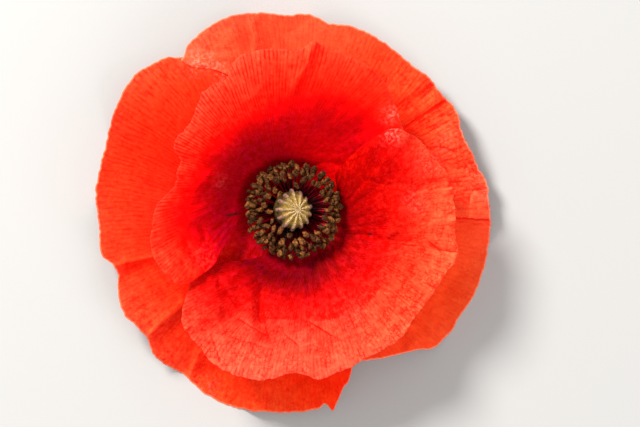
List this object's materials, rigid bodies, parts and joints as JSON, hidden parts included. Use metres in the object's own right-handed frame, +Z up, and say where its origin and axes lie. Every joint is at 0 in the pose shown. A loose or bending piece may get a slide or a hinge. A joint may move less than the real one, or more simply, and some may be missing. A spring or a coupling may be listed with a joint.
{
  "type": "poppy flower",
  "caption": "Open field poppy head lying face up: layered red petals round a dark ring of stamens and a rayed pale stigma disc, on a short cut stub.",
  "frame": {"origin": "centre of the whole flower's box at the surface it lies on, 0.4 mm from the flower's own axis", "axes": "+Z up out of the open flower, +X towards the right and +Y towards the top as the open flower is looked at from above"},
  "size_m": [0.0794, 0.0806, 0.0242],
  "materials": {
    "petal_outer_upper": "satin",
    "petal_outer_lower": "satin",
    "petal_inner_upper": "satin",
    "petal_inner_lower": "satin",
    "stamens": "matte",
    "pistil": "matte",
    "stem": "matte"
  },
  "bodies": {
    "root": {"petal_outer_upper": "petal_outer_upper", "petal_outer_lower": "petal_outer_lower", "petal_inner_upper": "petal_inner_upper", "petal_inner_lower": "petal_inner_lower", "stamens": "stamens", "pistil": "pistil", "stem": "stem"}
  },
  "joints": []
}
